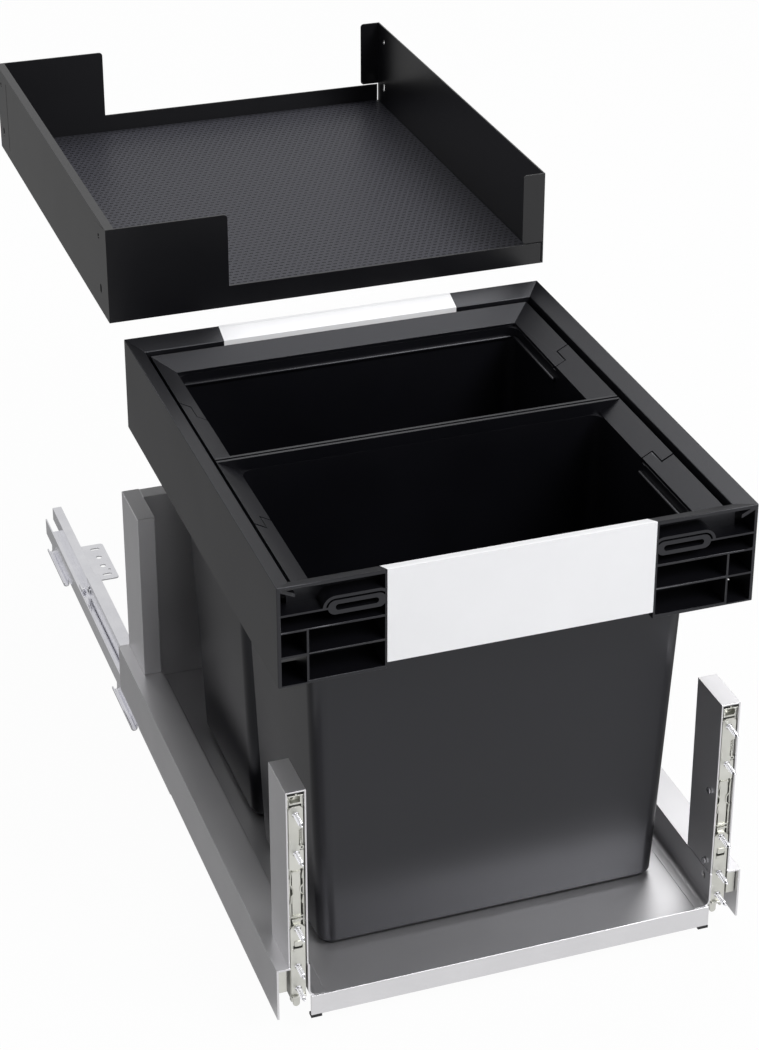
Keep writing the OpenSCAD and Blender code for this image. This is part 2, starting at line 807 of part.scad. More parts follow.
// Latch block at the top of the fixing
module fixing_latch(s) {
  side_gap = 0.8;
  foot_gap = 1;
  wall = 2;
  hw = fix_w / 2 - side_gap;
  z0 = plate_top + foot_gap;
  z1 = carrier_top;
  color(plate_zinc) side(s) difference() {
    slab([fix_x - hw, plate_y + plate_t / 2, z0], [fix_x + hw, plate_y + plate_t + carrier_d, z1]);
    rod_y(0, plate_y + plate_t + carrier_d - wall, fix_x + hw / 2, (z0 + z1) / 2, (z1 - z0) / 3.4);
  }
}

// Door screws: head, neck, thread and point
module door_screws(s) {
  tip = 3;
  tip_r = 0.3;
  head_h = 1.2;
  head_side = 1.5;
  color(zinc) side(s) for (z = screw_zs) translate([fix_x, plate_y, z]) rotate([90, 0, 0]) {
    translate([0, 0, -plate_t - head_h]) cylinder(h = head_h, r = screw_r + head_side);
    translate([0, 0, -plate_t - head_h / 2]) cylinder(h = plate_t + head_h / 2 + neck_h, r = neck_r);
    cylinder(h = screw_l - tip, r = screw_r);
    translate([0, 0, screw_l - tip]) cylinder(h = tip, r1 = screw_r, r2 = tip_r);
  }
}

// Adjusting screws that show in the bracket's inner wall
module adjust_screws(s) {
  socket = 1.1;
  socket_d = 1.2;
  sink = 0.2;
  fix_room = 0.5;
  color(zinc) side(s) for (z = adjust_zs) difference() {
    rod_x(bracket_in + sink, fix_x - fix_w / 2 - fix_room, adjust_y, z, adjust_r);
    rod_x(bracket_in, bracket_in + socket_d, adjust_y, z, socket);
  }
}

// Release lever below the lower plate, with a round tab
module release_lever(s) {
  hub = lever_hub_l / 2;
  tab = lever_tab_w / 2;
  t = 1.4;
  y0 = lever_y - lever_hub_r;
  color(plate_zinc) side(s) difference() {
    union() {
      rod_x(fix_x - hub, fix_x + hub, lever_y, lever_z, lever_hub_r);
      slab([fix_x - tab, y0, lever_tab_z], [fix_x + tab, y0 + t, lever_z]);
      rod_y(y0, y0 + t, fix_x, lever_tab_z, tab);
    }
    rod_x(fix_x - hub - over, fix_x + hub + over, lever_y, lever_z, lever_pin_r + fit_r);
  }
}

// Rubber feet under the lip's ends
module rubber_feet() {
  size = [8, 5];
  color(rubber) for (s = [-1, 1]) side(s)
    slab([pan_hw - size.x, -lip_fore, -foot_h], [pan_hw, -lip_fore + size.y, 0]);
}

// Fixed member: leg, web and box rail
module runner_fixed(s) {
  color(zinc) side(s) {
    run(runner_front, runner_rear) {
      translate([leg_out - runner_wall, leg_low]) square([runner_wall, leg_top - leg_low]);
      difference() {
        translate([rail_in, rail_foot]) square([rail_w, rail_top - rail_foot]);
        translate([rail_in + runner_wall, rail_foot + runner_wall])
          square([rail_w - 2 * runner_wall, rail_top - rail_foot - 2 * runner_wall]);
      }
    }
    run(runner_front, runner_rear - web_rear_gap)
      translate([rail_out - runner_wall, rail_foot]) square([leg_out - rail_out + runner_wall, runner_wall]);
  }
}

// Hook feet under the fixed member's leg, turned outwards
module runner_hooks(s) {
  in_x = leg_out - runner_wall;
  foot = leg_low - hook_h;
  color(zinc) side(s) for (y = hook_ys) run(y, y + hook_l) {
    translate([in_x, foot + hook_r]) square([runner_wall, hook_h - hook_r]);
    difference() {
      translate([in_x + hook_r, foot + hook_r]) circle(hook_r);
      translate([in_x + hook_r, foot + hook_r]) circle(hook_r - runner_wall);
      translate([in_x, foot + hook_r]) square([2 * hook_r, 2 * hook_r]);
    }
    translate([in_x + 2 * hook_r - runner_wall, foot + hook_r]) square([runner_wall, hook_r / 2]);
  }
}

// Mounting plate beside the box rail, screwed down beside the drawer's floor
module runner_plate(s) {
  y1 = plate_y0 + plate_l;
  y_mid = plate_y0 + plate_l / 2;
  r = 3;
  reach = plate_slot_l / 2 - plate_slot_r;
  low = plate_z - over;
  high = plate_z + runner_wall + over;
  pilot_r = 1.2;
  pilot_gap = 1.4;
  color(zinc) side(s) difference() {
    translate([0, 0, plate_z]) linear_extrude(height = runner_wall) {
      soft_rect(rail_in - plate_w, rail_in - r, plate_y0, y1, r);
      translate([rail_in - 3 * r, plate_y0]) square([3 * r, plate_l]);
    }
    for (y = [-plate_pitch / 2, plate_pitch / 2])
      translate([plate_hole_x, y_mid + y, low]) cylinder(h = high - low, r = plate_hole_r);
    translate([plate_hole_x - plate_hole_r - pilot_gap, y_mid - plate_pitch, low])
      cylinder(h = high - low, r = pilot_r);
    for (y = [-1.5 * plate_pitch, 1.5 * plate_pitch]) {
      for (x = [-reach, reach])
        translate([plate_hole_x + x, y_mid + y, low]) cylinder(h = high - low, r = plate_slot_r);
      slab([plate_hole_x - reach, y_mid + y - plate_slot_r, low],
           [plate_hole_x + reach, y_mid + y + plate_slot_r, high]);
    }
  }
}

// Middle member: an inverted channel over the box rail
module runner_middle(s) {
  color(zinc) side(s) run(middle_front, middle_rear) difference() {
    translate([runner_x - middle_hw, middle_low]) square([2 * middle_hw, middle_top - middle_low]);
    translate([runner_x - middle_hw + runner_wall, middle_low - over])
      square([2 * (middle_hw - runner_wall), middle_top - middle_low - runner_wall + over]);
  }
}

// Drawer member: an inverted channel under the side profile's top
module runner_drawer(s) {
  color(zinc) side(s) run(channel_y, channel_rear) difference() {
    translate([runner_x - channel_hw, channel_low]) square([2 * channel_hw, channel_top - channel_low]);
    translate([runner_x - channel_hw + runner_wall, channel_low - over])
      square([2 * (channel_hw - runner_wall), channel_top - channel_low - runner_wall + over]);
  }
}

// Moulded cap on the drawer member's front end, with an arched top
module runner_cap(s) {
  x = leg_out - cap_r;
  top = channel_top - loose;
  y0 = channel_y - cap_l;
  color(plate_zinc) side(s) {
    rod_y(y0, channel_y, x, top - cap_r, cap_r);
    slab([x - cap_r, y0, cap_low], [x + cap_r, channel_y, top - cap_r]);
  }
}

// Roller cage: a strip with a window for each roller
module cage(s, y0, count, pitch, z, r) {
  l = (count + 0.5) * pitch;
  side_gap = 0.2;
  hw = rail_w / 2 - side_gap;
  color(plastic) side(s) difference() {
    slab([runner_x - hw, y0, z - cage_t / 2], [runner_x + hw, y0 + l, z + cage_t / 2]);
    for (i = [0:count - 1])
      slab([runner_x - roller_l / 2 - roller_gap, y0 + (i + 0.75) * pitch - r - roller_gap, z - cage_t],
           [runner_x + roller_l / 2 + roller_gap, y0 + (i + 0.75) * pitch + r + roller_gap, z + cage_t]);
  }
}

module rollers(s, y0, count, pitch, z, r) {
  color(zinc) side(s) for (i = [0:count - 1])
    rod_x(runner_x - roller_l / 2, runner_x + roller_l / 2, y0 + (i + 0.75) * pitch, z, r);
}

module cage_lower(s) {
  cage(s, lower_cage_y, lower_count, lower_pitch, rail_top + lower_roller_r + roller_gap, lower_roller_r);
}

module cage_upper(s) {
  cage(s, upper_cage_y, upper_count, upper_pitch, middle_top + upper_roller_r + roller_gap, upper_roller_r);
}

module rollers_lower(s) {
  rollers(s, lower_cage_y, lower_count, lower_pitch, rail_top + lower_roller_r + roller_gap, lower_roller_r);
}

module rollers_upper(s) {
  rollers(s, upper_cage_y, upper_count, upper_pitch, middle_top + upper_roller_r + roller_gap, upper_roller_r);
}

// Tray walls along x, in x and z
module tray_end_2d() {
  top = tray_z + tray_h;
  low = tray_z + tray_low;
  right = tray_hw - tray_t - tray_slit;
  tall = -tray_hw + tray_tall_w;
  translate([-tray_hw, tray_z]) square([tray_hw + right, tray_low]);
  soft_rect(-tray_hw + tray_corner, tall, tray_z, top, tray_corner);
  translate([-tray_hw, tray_z]) square([2 * tray_corner, tray_h]);
}

module tray_tab_2d() {
  soft_rect(tray_hw - tray_tab_w, tray_hw + tray_corner, tray_z + tray_low + tray_slit,
    tray_z + tray_h, tray_corner);
}

// The tray's folded sheet
module tray_shell() {
  top = tray_z + tray_h;
  ys = [tray_y + tray_hole_in[0], tray_rear - tray_hole_in[1]];
  color(tray_black) difference() {
    union() {
      slab([-tray_hw, tray_y, tray_z], [tray_hw, tray_rear, tray_z + tray_t]);
      for (s = [-1, 1]) side(s) slab([tray_hw - tray_t, tray_y, tray_z], [tray_hw, tray_rear, top]);
      slab([-tray_hw, tray_y, top - tray_t], [-tray_hw + tray_fold, tray_rear, top]);
      for (y = [tray_y, tray_rear - tray_t]) {
        run(y, y + tray_t) tray_end_2d();
        intersection() {
          run(y, y + tray_t) tray_tab_2d();
          slab([0, y - over, tray_z], [tray_hw, y + tray_t + over, top]);
        }
      }
    }
    for (y = ys, s = [-1, 1]) side(s) {
      rod_x(tray_hw - tray_t - over, tray_hw + over, y, tray_hole_z, tray_hole_r);
      for (z = [-1, 1]) rod_x(tray_hw - tray_t - over, tray_hw + over, y,
        tray_slot_z + z * (tray_slot_l / 2 - tray_hole_r), tray_hole_r);
      slab([tray_hw - tray_t - over, y - tray_hole_r, tray_slot_z - tray_slot_l / 2 + tray_hole_r],
           [tray_hw + over, y + tray_hole_r, tray_slot_z + tray_slot_l / 2 - tray_hole_r]);
    }
  }
}

module tray_mat() {
  edge = tray_t + loose;
  color(mat_grey) slab([-tray_hw + edge, tray_y + edge, tray_z + tray_t],
    [tray_hw - edge, tray_rear - edge, tray_z + tray_t + mat_t]);
}

placed() tray_shell();
placed() tray_mat();
placed() runner_fixed(-1);  // runner_fixed_left
placed() runner_fixed(1);  // runner_fixed_right
placed() runner_hooks(-1);  // runner_hooks_left
placed() runner_hooks(1);  // runner_hooks_right
placed() runner_plate(-1);  // runner_plate_left
placed() runner_plate(1);  // runner_plate_right
placed() runner_middle(-1);  // runner_middle_left
placed() runner_middle(1);  // runner_middle_right
placed() cage_lower(-1);  // cage_lower_left
placed() cage_lower(1);  // cage_lower_right
placed() cage_upper(-1);  // cage_upper_left
placed() cage_upper(1);  // cage_upper_right
placed() rollers_lower(-1);  // rollers_lower_left
placed() rollers_lower(1);  // rollers_lower_right
placed() rollers_upper(-1);  // rollers_upper_left
placed() rollers_upper(1);  // rollers_upper_right
placed() runner_drawer(-1);  // runner_drawer_left
placed() runner_drawer(1);  // runner_drawer_right
placed() runner_cap(-1);  // runner_cap_left
placed() runner_cap(1);  // runner_cap_right
placed() side_profile(-1);  // side_profile_left
placed() side_profile(1);  // side_profile_right
placed() base_pan();
placed() back_wall();
placed() front_bracket(-1);  // front_bracket_left
placed() front_bracket(1);  // front_bracket_right
placed() rear_bracket(-1);  // rear_bracket_left
placed() rear_bracket(1);  // rear_bracket_right
placed() fixing_rail(-1);  // fixing_rail_left
placed() fixing_rail(1);  // fixing_rail_right
placed() upper_plate(-1);  // fixing_plate_upper_left
placed() upper_plate(1);  // fixing_plate_upper_right
placed() lower_plate(-1);  // fixing_plate_lower_left
placed() lower_plate(1);  // fixing_plate_lower_right
placed() fixing_link(-1);  // fixing_link_left
placed() fixing_link(1);  // fixing_link_right
placed() fixing_latch(-1);  // fixing_latch_left
placed() fixing_latch(1);  // fixing_latch_right
placed() door_screws(-1);  // door_screws_left
placed() door_screws(1);  // door_screws_right
placed() adjust_screws(-1);  // adjust_screws_left
placed() adjust_screws(1);  // adjust_screws_right
placed() release_lever(-1);  // release_lever_left
placed() release_lever(1);  // release_lever_right
placed() rubber_feet();
placed() frame_half(-1);  // frame_left
placed() frame_half(1);  // frame_right
placed() frame_panel(false);  // frame_front_panel
placed() frame_panel(true);  // frame_rear_panel
placed() bin(false);  // bin_front
placed() bin(true);  // bin_rear
placed() handle(false);  // handle_front
placed() handle(true);  // handle_rear
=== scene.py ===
import json
import math

import bmesh
import bpy
from mathutils import Matrix, Vector

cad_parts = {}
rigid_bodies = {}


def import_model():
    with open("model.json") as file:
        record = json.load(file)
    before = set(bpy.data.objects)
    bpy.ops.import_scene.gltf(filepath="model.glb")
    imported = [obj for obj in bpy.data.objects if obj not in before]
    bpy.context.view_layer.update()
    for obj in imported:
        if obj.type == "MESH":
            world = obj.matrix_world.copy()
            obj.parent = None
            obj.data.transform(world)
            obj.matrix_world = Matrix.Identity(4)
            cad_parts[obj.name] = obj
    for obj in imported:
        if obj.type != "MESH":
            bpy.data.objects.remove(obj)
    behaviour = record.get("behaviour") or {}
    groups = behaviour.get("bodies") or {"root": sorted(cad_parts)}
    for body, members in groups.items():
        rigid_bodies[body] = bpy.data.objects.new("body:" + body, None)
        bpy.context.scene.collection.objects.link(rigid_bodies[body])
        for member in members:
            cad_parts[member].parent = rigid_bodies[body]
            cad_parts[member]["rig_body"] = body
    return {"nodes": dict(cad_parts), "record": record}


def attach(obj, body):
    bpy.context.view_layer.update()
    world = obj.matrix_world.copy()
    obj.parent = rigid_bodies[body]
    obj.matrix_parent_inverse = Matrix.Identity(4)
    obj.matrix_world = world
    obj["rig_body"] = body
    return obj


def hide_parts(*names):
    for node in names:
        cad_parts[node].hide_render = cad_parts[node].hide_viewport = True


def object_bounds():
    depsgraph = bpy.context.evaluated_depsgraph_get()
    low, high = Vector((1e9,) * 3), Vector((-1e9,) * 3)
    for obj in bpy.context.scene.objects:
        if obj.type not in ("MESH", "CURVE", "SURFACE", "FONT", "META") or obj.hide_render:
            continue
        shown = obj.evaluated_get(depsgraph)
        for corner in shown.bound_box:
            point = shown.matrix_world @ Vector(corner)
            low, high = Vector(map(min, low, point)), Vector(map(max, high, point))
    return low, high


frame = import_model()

cad_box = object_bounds()
nodes = frame["nodes"]
scene = bpy.context.scene

MM = 0.001
SIDES = (("left", -1), ("right", 1))
ENDS = ("front", "rear")

# Places in mm: x from the middle, y behind the bin frame's front, z above the underside of the base
ORIGIN_Y = 645.5  # the origin is in the middle of the four screw holes,
ORIGIN_Z = 12.4  # on the underside of the runners' mounting plates
FRAME_LENGTH = 400.4
FIXING_X = 162.0  # the middle of a door fixing
FIXING_HALF = 5.2  # half its width
SCREW_Z = (171, 139, 75, 43, 23.5)  # the door screws
BRACKET_X = 154.7  # the inner face of a front bracket
ADJUSTER_Y = 9.3
ADJUSTER_Z = (50.3, 112.2)  # the adjusting screws
LOW_HOLE_Z = 37.5  # the hole below them, in the side profile

FLAT = math.radians(0.4)  # faces that turn by less than this are taken for one
TINT = (0.92, 0.93, 1, 1)  # a faint blue in what the plastics and the mat reflect


def at(x, y, z):
    """A point in metres, from a place in mm."""
    return Vector((x, y - ORIGIN_Y, z - ORIGIN_Z)) * MM


# Finishes
def group_sockets(group, kind, names):
    """Float sockets on a node group, from pairs of name and starting value."""
    for name, value in names:
        socket = group.interface.new_socket(name=name, in_out=kind, socket_type="NodeSocketFloat")
        if kind == "INPUT":
            socket.default_value = value


def shader_group(name, inputs, outputs):
    """An empty node group with a Vector input and named float sockets."""
    group = bpy.data.node_groups.new(name, "ShaderNodeTree")
    group.interface.new_socket(name="Vector", in_out="INPUT", socket_type="NodeSocketVector")
    group_sockets(group, "INPUT", inputs)
    group_sockets(group, "OUTPUT", [(o, 0) for o in outputs])
    return group, group.nodes.new("NodeGroupInput"), group.nodes.new("NodeGroupOutput")


def maths(tree, operation, a, b=None, c=None):
    """A maths node on numbers or other nodes' outputs."""
    node = tree.nodes.new("ShaderNodeMath")
    node.operation = operation
    for i, value in enumerate((a, b, c)):
        if value is None:
            continue
        if isinstance(value, (int, float)):
            node.inputs[i].default_value = value
        else:
            tree.links.new(value, node.inputs[i])
    return node.outputs[0]


def noise(tree, vector, scale, detail):
    """Cloudy noise. A larger scale makes it finer."""
    node = tree.nodes.new("ShaderNodeTexNoise")
    node.inputs["Detail"].default_value = detail
    tree.links.new(vector, node.inputs["Vector"])
    tree.links.new(scale, node.inputs["Scale"])
    return node.outputs[0]


def scaled(tree, vector, factors):
    """Coordinates drawn out or pressed together along each axis."""
    node = tree.nodes.new("ShaderNodeVectorMath")
    node.operation = "MULTIPLY"
    node.inputs[1].default_value = factors
    tree.links.new(vector, node.inputs[0])
    return node.outputs[0]


def build_grain():
    """Fine moulded or sprayed grain, with slow clouding over the whole piece."""
    sizes = [("Size", 2500), ("Cloud Size", 14)]
    group, start, end = shader_group("surface_grain", sizes, ["Grain", "Clouds"])
    fine = noise(group, start.outputs["Vector"], start.outputs["Size"], 2)
    slow = noise(group, start.outputs["Vector"], start.outputs["Cloud Size"], 4)
    group.links.new(fine, end.inputs["Grain"])
    group.links.new(slow, end.inputs["Clouds"])
    return group


def build_drawn():
    """Fine lines drawn along the sheet, from rolling, with faint handling marks."""
    sizes = [("Line Size", 900), ("Mark Size", 30)]
    group, start, end = shader_group("rolled_lines", sizes, ["Lines", "Marks"])
    along = scaled(group, start.outputs["Vector"], (1, 0.02, 1))
    group.links.new(noise(group, along, start.outputs["Line Size"], 2), end.inputs["Lines"])
    marks = noise(group, start.outputs["Vector"], start.outputs["Mark Size"], 5)
    group.links.new(marks, end.inputs["Marks"])
    return group


def build_dashes():
    """Staggered short raised bars, as pressed into a non-slip mat."""
    group, start, end = shader_group("mat_bars", [("Pitch X", 5.3), ("Pitch Y", 5.3)], ["Bar"])
    split = group.nodes.new("ShaderNodeSeparateXYZ")
    group.links.new(start.outputs["Vector"], split.inputs[0])
    u = maths(group, "DIVIDE", maths(group, "MULTIPLY", split.outputs[0], 1000), start.outputs["Pitch X"])
    v = maths(group, "DIVIDE", maths(group, "MULTIPLY", split.outputs[1], 1000), start.outputs["Pitch Y"])
    row = maths(group, "FLOOR", v)
    shift = maths(group, "MULTIPLY", maths(group, "MODULO", maths(group, "ABSOLUTE", row), 2), 0.5)
    shifted = maths(group, "FRACT", maths(group, "ADD", u, shift))
    du = maths(group, "ABSOLUTE", maths(group, "SUBTRACT", shifted, 0.5))
    dv = maths(group, "ABSOLUTE", maths(group, "SUBTRACT", maths(group, "FRACT", v), 0.5))
    within_u, within_v = maths(group, "SUBTRACT", 0.3, du), maths(group, "SUBTRACT", 0.2, dv)
    along = maths(group, "SMOOTH_MIN", maths(group, "MULTIPLY", within_u, 14), 1, 0.2)
    across = maths(group, "SMOOTH_MIN", maths(group, "MULTIPLY", within_v, 9), 1, 0.2)
    bar = maths(group, "MULTIPLY", maths(group, "MAXIMUM", along, 0), maths(group, "MAXIMUM", across, 0))
    group.links.new(bar, end.inputs["Bar"])
    return group


GRAIN = build_grain()
DRAWN = build_drawn()
BARS = build_dashes()


def place_group(tree, group, vector, values):
    """A node group in a material, fed with coordinates and values."""
    node = tree.nodes.new("ShaderNodeGroup")
    node.node_tree = group
    tree.links.new(vector, node.inputs["Vector"])
    for name, value in values.items():
        node.inputs[name].default_value = value
    return node


def start_material(name):
    """A material with its shader, its tree and Object coordinates."""
    material = bpy.data.materials.new(name)
    material.use_nodes = True
    tree = material.node_tree
    place = tree.nodes.new("ShaderNodeTexCoord")
    return material, tree, tree.nodes["Principled BSDF"], place.outputs["Object"]


def shaded(tree, mask, dark, light, low=0.3, high=0.7):
    """A colour that runs from dark to light with the mask."""
    ramp = tree.nodes.new("ShaderNodeValToRGB")
    ramp.color_ramp.elements[0].position = low
    ramp.color_ramp.elements[1].position = high
    ramp.color_ramp.elements[0].color = (*dark, 1)
    ramp.color_ramp.elements[1].color = (*light, 1)
    tree.links.new(mask, ramp.inputs[0])
    return ramp.outputs[0]


def ranged(tree, mask, low, high):
    """A value that runs from low to high with the mask."""
    node = tree.nodes.new("ShaderNodeMapRange")
    node.inputs["To Min"].default_value = low
    node.inputs["To Max"].default_value = high
    tree.links.new(mask, node.inputs["Value"])
    return node.outputs[0]


def bumped(tree, shader, height, depth, below=None):
    """A bump on a shader, over the one below if there is one. Depth is in metres."""
    node = tree.nodes.new("ShaderNodeBump")
    node.inputs["Strength"].default_value = 1.0
    node.inputs["Distance"].default_value = depth
    tree.links.new(height, node.inputs["Height"])
    if below is not None:
        tree.links.new(below, node.inputs["Normal"])
    tree.links.new(node.outputs[0], shader.inputs["Normal"])
    return node.outputs[0]


def plastic(name, dark, light, rough, grain_size=2600, grain_depth=0.00002):
    """Moulded plastic with fine grain."""
    material, tree, shader, place = start_material(name)
    grain = place_group(tree, GRAIN, place, {"Size": grain_size, "Cloud Size": 9})
    tree.links.new(shaded(tree, grain.outputs["Clouds"], dark, light), shader.inputs["Base Color"])
    tree.links.new(ranged(tree, grain.outputs["Clouds"], rough[0], rough[1]), shader.inputs["Roughness"])
    shader.inputs["Specular IOR Level"].default_value = 0.44
    shader.inputs["Specular Tint"].default_value = TINT
    bumped(tree, shader, grain.outputs["Grain"], grain_depth)
    return material


def coated(name, dark, light, rough, metallic=0.0, grain_size=1800, grain_depth=0.00003):
    """Sheet steel under a sprayed coat."""
    material, tree, shader, place = start_material(name)
    grain = place_group(tree, GRAIN, place, {"Size": grain_size, "Cloud Size": 7})
    lines = place_group(tree, DRAWN, place, {"Line Size": 500, "Mark Size": 22})
    clouds = maths(tree, "MULTIPLY", grain.outputs["Clouds"], 0.5)
    tone = maths(tree, "MULTIPLY_ADD", lines.outputs["Marks"], 0.5, clouds)
    tree.links.new(shaded(tree, tone, dark, light), shader.inputs["Base Color"])
    tree.links.new(ranged(tree, tone, rough[0], rough[1]), shader.inputs["Roughness"])
    shader.inputs["Metallic"].default_value = metallic
    bumped(tree, shader, grain.outputs["Grain"], grain_depth)
    return material


def plated(name, dark, light, rough, line_size=900):
    """Bright plated steel with rolling lines."""
    material, tree, shader, place = start_material(name)
    lines = place_group(tree, DRAWN, place, {"Line Size": line_size, "Mark Size": 45})
    tree.links.new(shaded(tree, lines.outputs["Marks"], dark, light), shader.inputs["Base Color"])
    marks = maths(tree, "MULTIPLY", lines.outputs["Marks"], 0.6)
    tone = maths(tree, "MULTIPLY_ADD", lines.outputs["Lines"], 0.4, marks)
    tree.links.new(ranged(tree, tone, rough[0], rough[1]), shader.inputs["Roughness"])
    shader.inputs["Metallic"].default_value = 1.0
    bumped(tree, shader, lines.outputs["Lines"], 0.00001)
    return material


def mat_material(name):
    """The tray's dark mat with raised bars. The bars are coloured darker than the mat as painted shade."""
    material, tree, shader, place = start_material(name)
    bars = place_group(tree, BARS, place, {"Pitch X": 5.3, "Pitch Y": 5.3})
    grain = place_group(tree, GRAIN, place, {"Size": 1500, "Cloud Size": 6})
    # Painted shade: the bars take the dark colour, standing in for the shade on their flanks.
    tone = maths(tree, "SUBTRACT", 1, bars.outputs["Bar"])
    colour = shaded(tree, tone, (0.002, 0.002, 0.003), (0.032, 0.032, 0.04), 0.0, 1.0)
    tree.links.new(colour, shader.inputs["Base Color"])
    tree.links.new(ranged(tree, grain.outputs["Clouds"], 0.36, 0.46), shader.inputs["Roughness"])
    shader.inputs["Specular IOR Level"].default_value = 0.2
    shader.inputs["Specular Tint"].default_value = TINT
    below = bumped(tree, shader, grain.outputs["Grain"], 0.00002)
    bumped(tree, shader, bars.outputs["Bar"], -0.0014, below)
    return material


FINISH = {
    "bin_black": plastic("bin_black", (0.0018, 0.0018, 0.0028), (0.003, 0.003, 0.0044), (0.3, 0.38)),
    "frame_black": plastic("frame_black", (0.0032, 0.0032, 0.0044), (0.0046, 0.0046, 0.006), (0.32, 0.4)),
    "panel_white": plastic(
        "panel_white", (0.84, 0.84, 0.85), (0.88, 0.88, 0.89), (0.4, 0.46), 2200, 0.00001
    ),
    "cage_plastic": plastic("cage_plastic", (0.05, 0.05, 0.055), (0.07, 0.07, 0.075), (0.5, 0.6)),
    "rubber_black": plastic(
        "rubber_black", (0.012, 0.012, 0.012), (0.018, 0.018, 0.018), (0.7, 0.8), 1500, 0.00004
    ),
    "tray_black": coated("tray_black", (0.003, 0.003, 0.0042), (0.0046, 0.0046, 0.006), (0.28, 0.34)),
    "steel_silver": coated(
        "steel_silver", (0.62, 0.615, 0.63), (0.69, 0.685, 0.7), (0.34, 0.4), 0.9, 2400, 0.000006
    ),
    "zinc": plated("zinc", (0.87, 0.87, 0.91), (0.95, 0.95, 0.98), (0.13, 0.22)),
    "fixing_zinc": plated("fixing_zinc", (0.54, 0.54, 0.5), (0.66, 0.66, 0.62), (0.34, 0.48), 700),
    "mat_black": mat_material("mat_black"),
}
SLOT_OF = {part["node"]: part["material_slot"] for part in frame["record"]["subparts"]}


def wear(piece, slot):
    """Gives a piece one finish."""
    piece.data.materials.clear()
    piece.data.materials.append(FINISH[slot])


for node_name, node_object in nodes.items():
    if node_object.material_slots:
        node_object.material_slots[0].material = FINISH[SLOT_OF[node_name]]
    else:
        node_object.data.materials.append(FINISH[SLOT_OF[node_name]])


# Shaping helpers
def sharpen(mesh, angle):
    """Smooth faces, with sharp edges where they meet at more than the angle."""
    for edge in mesh.edges:
        edge.smooth = len(edge.link_faces) == 2 and edge.calc_face_angle(0) < angle
    for face in mesh.faces:
        face.smooth = True


def finish_piece(name, mesh, body, slot, angle=math.radians(32)):
    """Turns a bmesh into an object that moves with a body."""
    sharpen(mesh, angle)
    data = bpy.data.meshes.new(name)
    mesh.to_mesh(data)
    mesh.free()
    piece = bpy.data.objects.new(name, data)
    scene.collection.objects.link(piece)
    wear(piece, slot)
    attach(piece, body)
    return piece


def block(low, high, edge=0.0, segments=2):
    """A block between two corners in mm, with its edges rounded over."""
    mesh = bmesh.new()
    bmesh.ops.create_cube(mesh, size=1)
    a, b = at(*low), at(*high)
    bmesh.ops.scale(mesh, verts=mesh.verts, vec=b - a)
    bmesh.ops.translate(mesh, verts=mesh.verts, vec=(a + b) / 2)
    if edge:
        bmesh.ops.bevel(
            mesh, geom=mesh.edges[:], offset=edge * MM, segments=segments, profile=0.5,
            affect="EDGES", material=-1,
        )
    return mesh


def joined(meshes):
    """One bmesh from several, which it frees."""
    whole = bmesh.new()
    for mesh in meshes:
        data = bpy.data.meshes.new("part")
        mesh.to_mesh(data)
        mesh.free()
        whole.from_mesh(data)
        bpy.data.meshes.remove(data)
    return whole


def carved(mesh, tools):
    """The mesh with the tools' shapes cut out of it."""
    stock, cutter = [bpy.data.objects.new(n, bpy.data.meshes.new(n)) for n in ("stock", "cutter")]
    mesh.to_mesh(stock.data)
    mesh.free()
    tool = joined(tools)
    tool.to_mesh(cutter.data)
    tool.free()
    for item in (stock, cutter):
        scene.collection.objects.link(item)
    cut = stock.modifiers.new("cut", "BOOLEAN")
    cut.operation = "DIFFERENCE"
    cut.solver = "EXACT"
    cut.use_self = True
    cut.object = cutter
    made = bmesh.new()
    shaped = stock.evaluated_get(bpy.context.evaluated_depsgraph_get())
    made.from_mesh(shaped.to_mesh())
    for item in (stock, cutter):
        data = item.data
        bpy.data.objects.remove(item)
        bpy.data.meshes.remove(data)
    bmesh.ops.dissolve_limit(made, angle_limit=FLAT, verts=made.verts, edges=made.edges)
    return made


def copied(node_name):
    """A part's own mesh, with the corners that its faces share merged."""
    mesh = bmesh.new()
    mesh.from_mesh(nodes[node_name].data)
    bmesh.ops.remove_doubles(mesh, verts=mesh.verts, dist=1e-6)
    return mesh


def round_over(piece, radius, angle=30, marked=False):
    """Rounds over the edges that turn by more than the angle, or only the marked ones."""
    bevel = piece.modifiers.new("edges", "BEVEL")
    bevel.width = radius * MM
    bevel.segments = 2
    bevel.limit_method = "WEIGHT" if marked else "ANGLE"
    bevel.angle_limit = math.radians(angle)
    bevel.harden_normals = True
    return piece


def eased(node_name, radius, shortest=0, cuts=None):
    """A copy of a part with its edges rounded over, as folded sheet and mouldings have.

    With a shortest length in mm, only the edges that are longer are rounded over. Edges that
    turn by less than the angle are left as they are.
    """
    angle = 25
    mesh = copied(node_name)
    if cuts:
        mesh = carved(mesh, cuts)
    bmesh.ops.dissolve_limit(mesh, angle_limit=FLAT, verts=mesh.verts, edges=mesh.edges)
    body = nodes[node_name]["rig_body"]
    if shortest:
        weight = mesh.edges.layers.float.new("bevel_weight_edge")
        for edge in mesh.edges:
            long = len(edge.link_faces) == 2 and edge.is_convex and edge.calc_length() > shortest * MM
            edge[weight] = float(long and edge.calc_face_angle(0) > math.radians(angle))
    piece = finish_piece(node_name + "_eased", mesh, body, SLOT_OF[node_name])
    round_over(piece, radius, angle, marked=shortest > 0)
    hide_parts(node_name)


def turned(profile, x, z, steps=28):
    """A turned shape about a line along y, from pairs of radius and y in mm."""
    mesh = bmesh.new()
    line = [mesh.verts.new(at(x + radius, y, z)) for radius, y in profile]
    edges = [mesh.edges.new(pair) for pair in zip(line, line[1:])]
    bmesh.ops.spin(
        mesh, geom=line + edges, cent=at(x, 0, z), axis=(0, 1, 0), angle=math.tau, steps=steps,
        use_merge=True, use_duplicate=False,
    )
    bmesh.ops.remove_doubles(mesh, verts=mesh.verts, dist=1e-6)
    bmesh.ops.recalc_face_normals(mesh, faces=mesh.faces)
    return mesh


